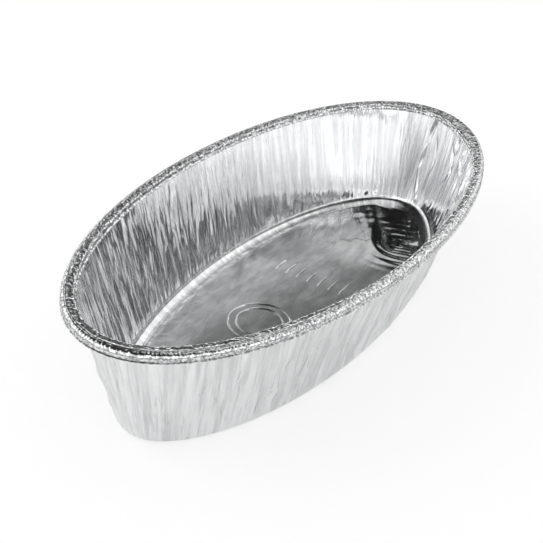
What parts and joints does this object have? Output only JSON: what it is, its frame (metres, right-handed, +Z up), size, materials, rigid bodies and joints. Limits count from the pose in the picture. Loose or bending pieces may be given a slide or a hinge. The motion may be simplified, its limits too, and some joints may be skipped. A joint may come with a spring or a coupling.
{
  "type": "oval loaf pan",
  "caption": "Oval disposable baking pan pressed from aluminium foil, with creased leaning walls and a crimped, rolled rim.",
  "frame": {"origin": "centre of the base, on the plane that the pan stands on", "axes": "+X along the oval's long axis, +Y along its short axis, +Z up out of the mouth"},
  "size_m": [0.2996, 0.1396, 0.0605],
  "materials": {
    "foil_pan": "bright rolled foil"
  },
  "bodies": {
    "root": {"foil_pan": "foil_pan"}
  },
  "joints": []
}
